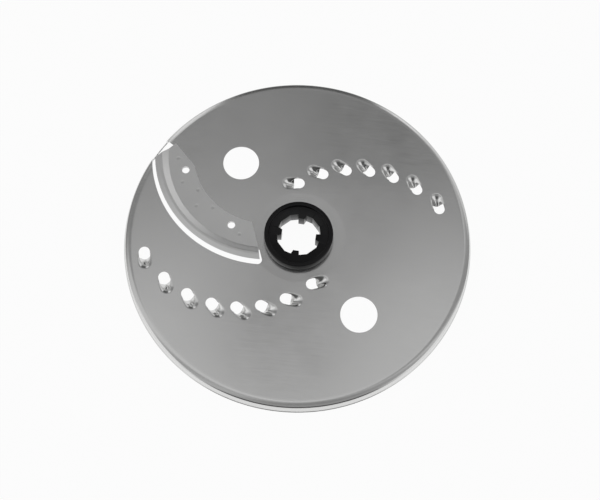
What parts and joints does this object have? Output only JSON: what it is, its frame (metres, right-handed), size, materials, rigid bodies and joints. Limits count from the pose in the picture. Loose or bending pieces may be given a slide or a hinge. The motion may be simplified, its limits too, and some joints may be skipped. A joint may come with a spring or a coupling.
{
  "type": "reversible slicing and grating disc",
  "caption": "Round steel food-processor disc with a turned-down rim, grating scoops, a raised curved slicing blade over a window, finger holes and a black keyed hub.",
  "frame": {"origin": "on the drive axis, at the height of the rim's lower edge, which is what the disc rests on", "axes": "+Z along the drive axis, out of the side with the slicing blade; the two finger holes lie at 135 and 315 degrees from +X towards +Y, and the hub's lugs on the X and Y axes"},
  "size_m": [0.1758, 0.1758, 0.0107],
  "materials": {
    "plate_steel": "rolled stainless sheet, satin",
    "blade_steel": "ground stainless strip, finer satin",
    "hub_plastic": "black moulded plastic, glossy"
  },
  "bodies": {
    "root": {"disc_plate": "plate_steel", "slicing_blade": "blade_steel", "hub": "hub_plastic"}
  },
  "joints": []
}
